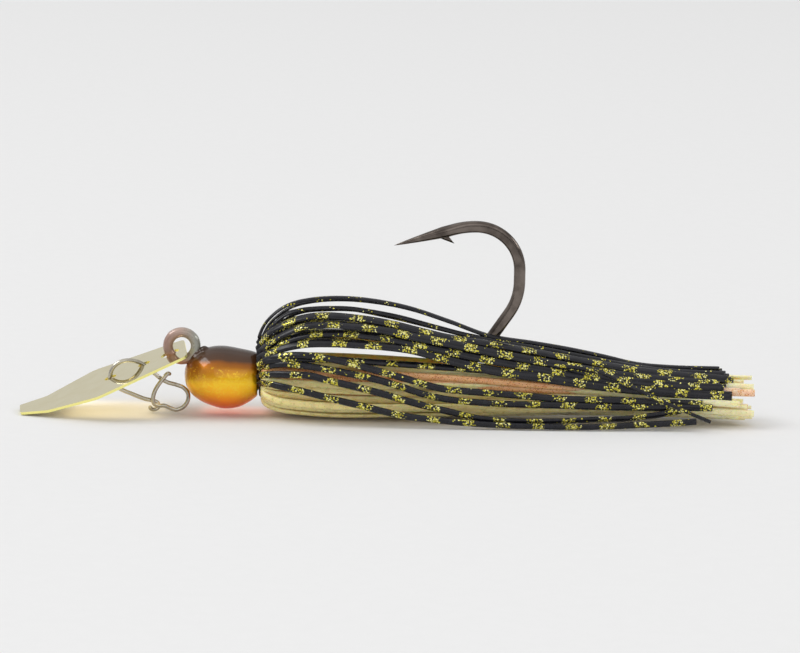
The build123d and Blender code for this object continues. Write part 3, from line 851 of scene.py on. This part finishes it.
# Angle round the axis, 90 at the top, and share of the radius, of the other CAD strands
FAR_BLACK = {"08": (322, 1.0), "09": (336, 1.0), "10": (348, 1.0), "11": (28, 0.97), "12": (41, 0.92),
             "13": (58, 0.88), "14": (78, 0.92), "17": (150, 0.84), "19": (350, 0.80), "20": (38, 0.80),
             "21": (52, 0.76), "22": (72, 0.84)}
GOLD = {"01": (236, 1.0), "02": (258, 1.0), "03": (282, 1.0), "04": (304, 1.0), "05": (206, 0.92),
        "06": (222, 0.90), "07": (247, 0.85), "08": (280, 0.82), "09": (306, 0.80), "10": (332, 0.80),
        "11": (150, 0.66), "12": (180, 0.72), "13": (202, 0.74), "14": (288, 0.62), "15": (324, 0.62),
        "16": (14, 0.66), "17": (66, 0.60)}
ORANGE = {"01": (172, 0.66), "02": (212, 0.60), "03": (0, 0.62)}
TAIL_BLACK, TAIL_GOLD, TAIL_ORANGE = 68.0, 73.0, 74.2


def make_skirt(black, gold, orange):
    """Every strand: the near ones from their listed points, the others by their angle and share."""
    for i, (node, points) in enumerate(sorted(NEAR_STRANDS.items())):
        ribbons = [(points, 100 + i)]
        if node in TWINS:
            twin = [tuple(a + b for a, b in zip(p, TWINS[node])) for p in points]
            ribbons.append((twin, 130 + i))
        wide = TOP_WIDE if node in BROAD else STRAND_WIDE
        make_strand("skirt_" + node[7:], ribbons, black, [node], twist=8.0, width=wide,
                    glitter=EDGE_GLITTER if node in EDGE_ON else 1.0)
    for i, (number, (angle, share)) in enumerate(sorted(FAR_BLACK.items())):
        tail = TAIL_BLACK + 1.4 * math.sin(2.4 * i)
        ribbons = [(fan_line(angle, share, tail, 200 + i), 210 + i)]
        make_strand("skirt_black_" + number, ribbons, black, ["strand_black_" + number])
    for i, (number, (angle, share)) in enumerate(sorted(GOLD.items())):
        tail = TAIL_GOLD + 1.3 * math.sin(2.1 * i)
        ribbons = [(fan_line(angle, share, tail, 300 + i), 310 + i),
                   (fan_line(angle + 9, share * 0.95, tail - 1.6, 330 + i), 350 + i)]
        make_strand("skirt_gold_" + number, ribbons, gold, ["strand_gold_" + number])
    for i, (number, (angle, share)) in enumerate(sorted(ORANGE.items())):
        tail = TAIL_ORANGE - 0.9 * i
        ribbons = [(fan_line(angle, share, tail, 400 + i), 410 + i),
                   (fan_line(angle - 8, share * 1.05, tail - 2.2, 430 + i), 450 + i)]
        make_strand("skirt_orange_" + number, ribbons, orange, ["strand_orange_" + number])
    make_strand("skirt_stray", [(STRAY, 500)], black, [],
                width=STRAY_WIDE)


# ---------------------------------------------------------------- blade
BLADE_NORMAL = (-0.379, -0.096, 0.920)        # of its main part, at rest


def paint_brass_edges_and_highlight(mat):
    """The plate's cut edges get a brighter, purer yellow than its faces: partly the cut brass's own colour,
    partly a painted highlight.
    """
    tree = mat.node_tree
    shader = tree.nodes["Principled BSDF"]
    turned = add(tree, "ShaderNodeVectorMath", Vector=add(tree, "ShaderNodeTexCoord").outputs["Normal"])
    turned.operation = "DOT_PRODUCT"
    turned.inputs[1].default_value = BLADE_NORMAL
    edge = spread(tree, calc(tree, "ABSOLUTE", turned.outputs["Value"]), 0.45, 0.75, 1.0, 0.0)
    tone = shader.inputs["Base Color"].links[0].from_socket
    rough = shader.inputs["Roughness"].links[0].from_socket
    # Brighter yellow on the cut edges: partly their brassy colour, partly a painted highlight
    tree.links.new(blend_colour(tree, edge, tone, (1.0, 0.93, 0.34)), shader.inputs["Base Color"])
    tree.links.new(calc(tree, "ADD", rough, calc(tree, "MULTIPLY", edge, 0.25)), shader.inputs["Roughness"])


# ---------------------------------------------------------------- everything
def paint_node(name, mat):
    """Gives a CAD node's slots a material."""
    for slot in frame["nodes"][name].material_slots:
        slot.material = mat


def main():
    """The stage, the materials, and every piece of the lure."""
    make_camera()
    make_stage()
    bpy.context.scene.view_settings.view_transform = "Standard"
    nickel = metal("black_nickel", (0.185, 0.155, 0.135), (0.070, 0.057, 0.050), 0.13)
    steel = metal("snap_steel", (0.58, 0.54, 0.45), (0.36, 0.33, 0.26), 0.14)
    plate = metal("gold_plate", (0.84, 0.77, 0.50), (0.81, 0.73, 0.45), 0.035,
                  streak=(500.0, 6000.0, 6000.0), depth=0.0000006)
    # The cut edges get their brassy colour plus a painted highlight
    paint_brass_edges_and_highlight(plate)
    make_hook(nickel)
    make_eye(ring_paint())
    make_head(head_paint())
    make_collar(collar_rubber())
    paint_node("blade", plate)
    make_snap(steel)
    dark_flakes = ((0.30, 0.25, 0.015), (0.78, 0.70, 0.07), (1.0, 0.97, 0.45))
    pale_flakes = ((0.78, 0.70, 0.24), (0.95, 0.88, 0.32), (1.0, 0.97, 0.65))
    warm_flakes = ((0.42, 0.10, 0.015), (0.80, 0.24, 0.04), (1.0, 0.62, 0.30))
    black = silicone("skirt_black", (0.009, 0.009, 0.013), (0.009, 0.009, 0.013), dark_flakes,
                     0.25, (0.90, 0.015), 0.24, 0.0, uneven=(0.55, 1.45), gloss=0.36)
    gold = silicone("skirt_gold", (1.0, 0.77, 0.37), (1.0, 0.84, 0.54), pale_flakes,
                    0.13, (0.34, 0.22), 0.28, 0.75, uneven=(0.88, 1.10), mirror=0.15)
    orange = silicone("skirt_orange", (1.0, 0.50, 0.24), (1.0, 0.66, 0.46), warm_flakes,
                      0.16, (0.62, 0.34), 0.30, 0.6, uneven=(0.85, 1.10), mirror=0.10)
    make_skirt(black, gold, orange)


main()
